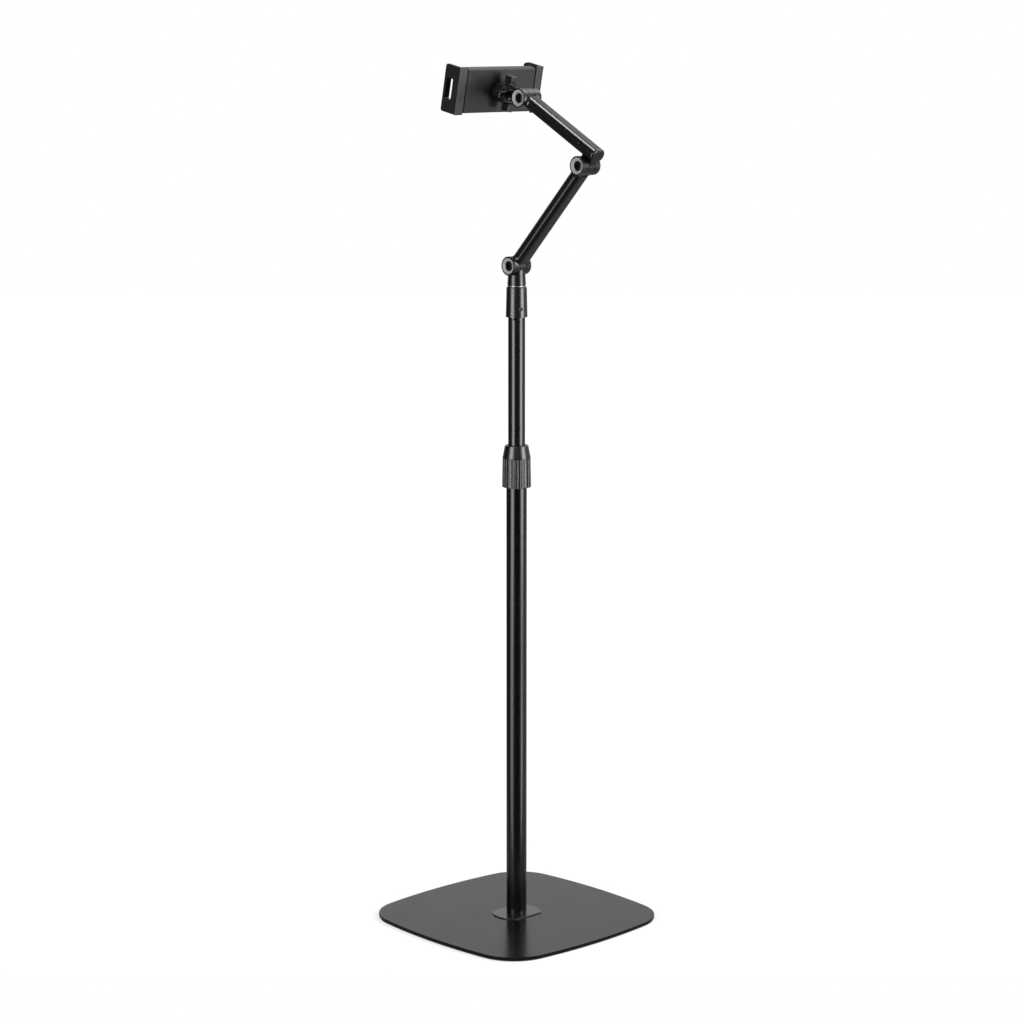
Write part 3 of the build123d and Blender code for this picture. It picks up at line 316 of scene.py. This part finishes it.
# %% [markdown]
# ## Black flags
# Photographers keep a lamp off part of the set with a black flag. The base
# would mirror a soft box as a white sheet when it is seen from the far side,
# and the pole's reflection in the base would show the high halves, where the
# photograph has a dark streak. Light linking does what the flag does: it
# leaves the named pieces out of one lamp's light. The flange keeps the high
# halves, which draw the pale line on its rim.

# %% Flags
def flag_off(lamp, names):
    """A black flag between a lamp and some pieces: the lamp leaves them unlit."""
    shaded = bpy.data.collections.new(lamp.name + "_flag")
    for name in names:
        shaded.objects.link(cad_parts[name])
    for entry in shaded.collection_objects:
        entry.light_linking.link_state = "EXCLUDE"
    lamp.light_linking.receiver_collection = shaded


for lamp in low_boxes:
    flag_off(lamp, ["base_plate", "flange_plate"])
for lamp in high_boxes:
    flag_off(lamp, ["base_plate", "lower_tube"])
print("flags:", len(low_boxes + high_boxes))

# %% [markdown]
# ## The overhead light
# The arms have a thin bright line along their upper corners. It comes from
# something small and strong above them, so this lamp is a small square.

# %% Overhead light
def add_top_light(name, place, aim, size, radiance):
    """A small square of light overhead: the bright line on the arms' upper corners."""
    data = bpy.data.lights.new(name, "AREA")
    data.shape = "SQUARE"
    data.size = size
    data.energy = radiance * size**2 * math.pi
    lamp = bpy.data.objects.new(name, data)
    lamp.location = place
    lamp.rotation_euler = (Vector(aim) - Vector(place)).to_track_quat("-Z", "Y").to_euler()
    bpy.context.collection.objects.link(lamp)
    return lamp


top_light = add_top_light("light_overhead", (0.05, 0.21, 2.45), (0.0, -0.07, 1.0), 0.50, 17.0)
print("overhead light at", [round(v, 2) for v in top_light.location])

# %% [markdown]
# ## Effects that several finishes share
# Coats, plastics and metals all have a fine skin texture and a soft, uneven
# gloss. Each effect is one node group with named inputs, so a finish is a few
# numbers and not a new tree. The groups give only values: colour and the
# shader itself stay in the material.

# %% Group helper
def new_group(name, inputs, outputs):
    """An empty node group with float inputs (name: default) and float outputs."""
    group = bpy.data.node_groups.new(name, "ShaderNodeTree")
    for label, default in inputs.items():
        socket = group.interface.new_socket(
            label, in_out="INPUT", socket_type="NodeSocketFloat")
        socket.default_value = default
    for label in outputs:
        group.interface.new_socket(label, in_out="OUTPUT", socket_type="NodeSocketFloat")
    start = group.nodes.new("NodeGroupInput")
    end = group.nodes.new("NodeGroupOutput")
    return group, start, end


print("groups so far:", len(bpy.data.node_groups))

# %% [markdown]
# ## Skin
# Powder coat has a faint orange peel, enamel a slow waviness, and moulded
# plastic the fine spark texture of its mould. All three are bumps in two
# sizes, fine grain and broad waves, so one height made of two noises serves
# them all. A third, very slow noise makes the gloss drift, as it does where
# hands have been. Sizes are in metres.

# %% Skin group
def build_skin_group():
    """Height = grain * fine noise + wave * broad noise; Cloud = a slow drift from 0 to 1."""
    group, start, end = new_group(
        "skin",
        {"Grain Size": 0.0005, "Wave Size": 0.004, "Grain": 0.5, "Wave": 0.5, "Cloud Size": 0.05},
        ["Height", "Cloud"],
    )
    where = group.nodes.new("ShaderNodeTexCoord").outputs["Object"]

    def noise(size_name, detail):
        scale = combine(group, "DIVIDE", 1.0, start.outputs[size_name])
        texture = add_node(group, "ShaderNodeTexNoise", {
            "Vector": where, "Scale": scale, "Detail": detail,
        })
        return texture.outputs["Fac"]

    grain = combine(group, "MULTIPLY", noise("Grain Size", 2.0), start.outputs["Grain"])
    wave = combine(group, "MULTIPLY", noise("Wave Size", 1.0), start.outputs["Wave"])
    wire(group, end, {
        "Height": combine(group, "ADD", grain, wave),
        "Cloud": noise("Cloud Size", 3.0),
    })
    return group


skin_group = build_skin_group()
print("group", skin_group.name, [item.name for item in skin_group.interface.items_tree])

# %% [markdown]
# ## Edge wear, and a painted rim highlight
# Corners that are handled or knocked lose their coat first and turn paler. A rounded normal
# differs from the true one only near a corner, so comparing the two finds the corners without
# painting anything by hand. Noise breaks the line up, because real wear is never even. On the
# flange the same mask, at full amount and with a pale colour, paints a highlight on the rim.

# %% Edge wear group
CORNER_STARTS, CORNER_FULL = 0.995, 0.85
PATCH_STARTS, PATCH_FULL = 0.45, 0.7
PATCH_SCALE = 180.0


def build_edge_group():
    """Corner mask = how far a rounded normal turns from the true one, broken up by noise; it
    marks wear, and on the flange a painted rim highlight.
    """
    group, start, end = new_group("edge_wear_and_rim_highlight", {"Radius": 0.0006, "Amount": 1.0}, ["Wear And Rim Highlight"])
    rounded = group.nodes.new("ShaderNodeBevel")
    rounded.samples = 4
    wire(group, rounded, {"Radius": start.outputs["Radius"]})
    surface = group.nodes.new("ShaderNodeNewGeometry")
    agree = along(group, rounded.outputs["Normal"], surface.outputs["Normal"])
    corner = ramp(group, agree, CORNER_STARTS, CORNER_FULL)
    where = group.nodes.new("ShaderNodeTexCoord").outputs["Object"]
    patches = add_node(group, "ShaderNodeTexNoise", {
        "Vector": where, "Scale": PATCH_SCALE, "Detail": 4.0,
    })
    broken = ramp(group, patches.outputs["Fac"], PATCH_STARTS, PATCH_FULL)
    worn = combine(group, "MULTIPLY", corner, broken)
    wire(group, end, {"Wear And Rim Highlight": combine(group, "MULTIPLY", worn, start.outputs["Amount"])})
    return group


edge_group = build_edge_group()
print("group", edge_group.name, [item.name for item in edge_group.interface.items_tree])

# %% [markdown]
# ## A finish in one call
# Every finish here has a base colour, a gloss that drifts a little over the surface, a bump from
# the skin group and a trace of wear on the corners, which on the flange is a painted highlight. A
# single helper builds that tree, and each material passes its own numbers.
# The index of refraction sets how strongly the skin mirrors the studio, which
# for black things matters more than their colour.

# %% Finish helper
CLOUD_LOW, CLOUD_HIGH = 0.3, 0.7
MM = 0.001
UM = 0.000001


def finish(name, colour, wear_and_highlight_colour, gloss, grain, wave, depth, metallic=0.0, wear=0.5, ior=1.5):
    """One finish.

    gloss is (low, high) roughness, grain and wave are (size in mm, amount),
    and depth is the height of the bumps in thousandths of a millimetre.
    """
    material = bpy.data.materials.new(name)
    material.use_nodes = True
    tree = material.node_tree
    skin = tree.nodes.new("ShaderNodeGroup")
    skin.node_tree = skin_group
    wire(tree, skin, {
        "Grain Size": grain[0] * MM, "Grain": grain[1],
        "Wave Size": wave[0] * MM, "Wave": wave[1],
    })
    relief = add_node(tree, "ShaderNodeBump", {
        "Strength": 1.0, "Distance": depth * UM, "Height": skin.outputs["Height"],
    })
    edge = tree.nodes.new("ShaderNodeGroup")
    edge.node_tree = edge_group
    wire(tree, edge, {"Amount": wear})
    # Pale edge colour mixed in by the corner mask: wear, and on the flange a painted rim
    # highlight.
    tint = tree.nodes.new("ShaderNodeMix")
    tint.data_type = "RGBA"
    wire(tree, tint, {
        "Factor": edge.outputs["Wear And Rim Highlight"], "A": (*colour, 1), "B": (*wear_and_highlight_colour, 1),
    })
    wire(tree, tree.nodes["Principled BSDF"], {
        "Base Color": tint.outputs["Result"],
        "Metallic": metallic,
        "IOR": ior,
        "Roughness": ramp(tree, skin.outputs["Cloud"], CLOUD_LOW, CLOUD_HIGH, *gloss),
        "Normal": relief.outputs["Normal"],
    })
    return material


print("shared nodes behind each finish:", len(skin_group.nodes) + len(edge_group.nodes))

# %% [markdown]
# ## Dressing the pieces
# A piece from the CAD model has material slots of its own. The finish goes on
# the slot of the object and not of its mesh, so the mesh stays as the CAD
# model made it.

# %% Dress helper
dressed = []


def dress(material, node_names):
    """Put one finish on all the slots of the named pieces."""
    for node_name in node_names:
        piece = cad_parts[node_name]
        if not piece.material_slots:
            piece.data.materials.append(material)
        else:
            for slot in piece.material_slots:
                slot.link = "OBJECT"
                slot.material = material
        dressed.append(node_name)
    print(material.name, "on", ", ".join(node_names))


print("pieces to dress:", len(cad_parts))

# %% [markdown]
# ## Base plate: powder coat
# The base is a heavy steel plate with a baked powder coat, satin and with a
# faint orange peel. Seen low it mirrors the wall ahead as an even grey. A
# grey base colour could give that tone too, but the plate would then be grey
# from above as well. A black colour with a low index of refraction mirrors
# strongly only at a low angle, as the real plate does.

# %% Base plate
base_powder_coat = finish(
    "base_powder_coat", (0.004, 0.004, 0.0043), (0.03, 0.03, 0.032), gloss=(0.20, 0.25),
    grain=(0.4, 0.5), wave=(2.2, 0.9), depth=6, wear=0.2, ior=1.32)
dress(base_powder_coat, ["base_plate"])

# %% [markdown]
# ## Flange: glossy enamel
# The thin disc under the pole is stamped and enamelled, so it mirrors more than the base. Its rim
# shows a pale line. Part of the line is the soft boxes' real highlight, and part is a painted
# highlight: a pale edge colour that the edge wear mask finds by itself, here at a larger amount.
# The line could be a thin ring of its own mesh.

# %% Flange
# Painted highlight: the pale edge colour (0.30) at full amount paints the rim's pale line.
flange_enamel = finish(
    "flange_enamel", (0.008, 0.008, 0.0085), (0.30, 0.30, 0.31), gloss=(0.22, 0.27),
    grain=(0.4, 0.5), wave=(3.0, 0.5), depth=4, wear=1.0, ior=1.62)
dress(flange_enamel, ["flange_plate"])

# %% [markdown]
# ## Tubes: black enamel
# Both tubes are steel with a smooth, deep black enamel, and the ball has the
# same. Almost all that is seen of them is the two pale lines of the soft
# boxes. Lines painted on the tubes would stay where they are when the camera
# moves, so they are left to the lamps. The roughness sets how soft their
# sides are, and the slow waves make them waver slightly, as on drawn tube.

# %% Tubes
tube_enamel = finish(
    "tube_enamel", (0.003, 0.003, 0.0033), (0.02, 0.02, 0.022), gloss=(0.22, 0.27),
    grain=(0.5, 0.3), wave=(4.0, 0.6), depth=3, wear=0.2)
dress(tube_enamel, ["lower_tube", "upper_tube", "ball"])

# %% [markdown]
# ## Arms: coated castings
# The arms, the post and the neck are cast or extruded light metal with a thin
# satin coat. Brushed metal would need stretched highlights, but a coat is
# even in all directions, so plain roughness does. It is a shade less glossy
# than the tubes' enamel and shows a little more wear, because these are the
# pieces that hands bend.

# %% Arms
arm_coat = finish(
    "arm_coat", (0.004, 0.004, 0.0043), (0.03, 0.03, 0.033), gloss=(0.24, 0.28),
    grain=(0.4, 0.5), wave=(4.0, 0.5), depth=3, wear=0.3)
dress(arm_coat, ["upper_arm", "forearm", "forearm_end", "post", "head_neck"])

# %% [markdown]
# ## Collar, sleeve, knob and caps: glossy plastic
# The pieces that are turned by hand and the small caps are moulded in a
# glossier plastic. Their edges are rounded in the CAD model, and the gloss
# makes these roundings read as fine pale lines, such as on the flutes of the
# collar. A second clear layer would look the same here and cost more time,
# so one layer with a high index of refraction is enough.

# %% Glossy plastic
gloss_plastic = finish(
    "gloss_plastic", (0.004, 0.004, 0.0043), (0.02, 0.02, 0.022), gloss=(0.24, 0.30),
    grain=(0.4, 0.5), wave=(4.0, 0.4), depth=6, wear=0.25, ior=1.56)
dress(gloss_plastic, [
    "lock_collar", "head_sleeve", "knob", "ball_seat_ring", "arm_hinge_caps", "top_hinge_cap",
])

# %% [markdown]
# ## Holder: matt moulded plastic
# The housing is matt, with a fine grain that hides fingerprints. The grain is
# a third of a millimetre wide: real relief would need millions of faces, and
# a bump shows the same. The jaws look paler than the housing in the
# photograph, so they get a finish of their own. It is slightly smoother and
# has a higher index of refraction, and so mirrors more of the wall on the
# right.

# %% Matt plastic
moulded_plastic = finish(
    "moulded_plastic", (0.005, 0.005, 0.0054), (0.02, 0.02, 0.022), gloss=(0.36, 0.42),
    grain=(0.35, 0.8), wave=(4.0, 0.3), depth=10, wear=0.3, ior=1.43)
dress(moulded_plastic, [
    "ball_socket", "ball_liner", "back_housing", "front_cover", "foot_insert", "lock_sleeve",
    "guide_bush",
])
jaw_plastic = finish(
    "jaw_plastic", (0.005, 0.005, 0.0054), (0.02, 0.02, 0.022), gloss=(0.32, 0.38),
    grain=(0.35, 0.8), wave=(4.0, 0.3), depth=12, wear=0.3, ior=1.58)
dress(jaw_plastic, ["right_jaw", "left_jaw"])

# %% [markdown]
# ## Pads: rubber
# A rubber sheet under the base keeps it from sliding, and rubber faces hold
# the tablet. Rubber is rough and a little paler than the coats, and has the
# deepest bumps of all the finishes here. A velvet-like sheen could stand for
# the dust on it, but these pads are new and small, so roughness is enough.

# %% Rubber
rubber = finish(
    "rubber", (0.010, 0.010, 0.011), (0.02, 0.02, 0.02), gloss=(0.60, 0.72),
    grain=(0.5, 0.8), wave=(4.0, 0.3), depth=30, wear=0.2)
dress(rubber, ["base_pad", "face_pad", "right_jaw_pad", "left_jaw_pad"])

# %% [markdown]
# ## Fasteners: zinc and black oxide
# Screws, washers and springs inside are zinc-plated steel. The bolts that
# show are blackened steel: still a metal, so their colour is a dark grey
# mirror and not a black coat. Both have a wide range of gloss, because
# plating is never even.

# %% Fasteners
zinc_steel = finish(
    "zinc_steel", (0.55, 0.55, 0.57), (0.75, 0.75, 0.77), gloss=(0.22, 0.38),
    grain=(0.3, 0.5), wave=(2.0, 0.5), depth=6, metallic=1.0)
dress(zinc_steel, [
    "base_washer", "base_screw", "swivel_washer", "swivel_bolt", "arm_hinge_spring_washers",
    "top_hinge_spring_washer", "arm_hinge_nuts", "top_hinge_nut", "socket_screws",
    "cover_screws", "pinion_pin", "right_spring", "left_spring",
])
black_oxide = finish(
    "black_oxide", (0.03, 0.03, 0.033), (0.16, 0.16, 0.17), gloss=(0.26, 0.36),
    grain=(0.3, 0.5), wave=(2.0, 0.4), depth=6, metallic=1.0)
dress(black_oxide, ["arm_hinge_bolts", "top_hinge_bolt", "forearm_pin", "sleeve_set_screw"])

# %% [markdown]
# ## Rings: satin grey
# The flat rings round the hinge bolts and the thin ring at the swivel are the
# only grey in the picture. The hinge rings look the same from all sides, so
# they are a matt grey and not a mirror. The swivel ring glints, so it is a
# metal.

# %% Rings
satin_grey = finish(
    "satin_grey", (0.25, 0.25, 0.255), (0.32, 0.32, 0.33), gloss=(0.48, 0.56),
    grain=(0.3, 0.6), wave=(2.0, 0.2), depth=6, wear=0.0)
dress(satin_grey, ["arm_hinge_rings", "top_hinge_ring"])
swivel_satin = finish(
    "swivel_satin", (0.22, 0.22, 0.23), (0.30, 0.30, 0.31), gloss=(0.30, 0.40),
    grain=(0.3, 0.6), wave=(2.0, 0.2), depth=6, metallic=1.0, wear=0.3)
dress(swivel_satin, ["swivel_ring"])

# %% [markdown]
# ## Inside: nylon
# Pieces that rub, such as the collet of the lock, the friction washers and
# the pinion between the jaws, are plain nylon, slightly warm and half matt.
# Real nylon lets a little light through, which subsurface scattering could
# show. These pieces are hardly seen, so a plain pale colour does.

# %% Nylon
nylon = finish(
    "nylon", (0.66, 0.65, 0.61), (0.75, 0.74, 0.7), gloss=(0.38, 0.48),
    grain=(0.5, 0.5), wave=(4.0, 0.5), depth=10)
dress(nylon, [
    "lock_collet", "lock_thrust_ring", "arm_friction_washers", "top_friction_washers", "pinion",
])
print("pieces with a finish:", len(dressed), "of", len(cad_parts))

# %% [markdown]
# The Standard view keeps colours as they are written, so white paper is white.

# %% Finish
bpy.context.scene.view_settings.view_transform = "Standard"
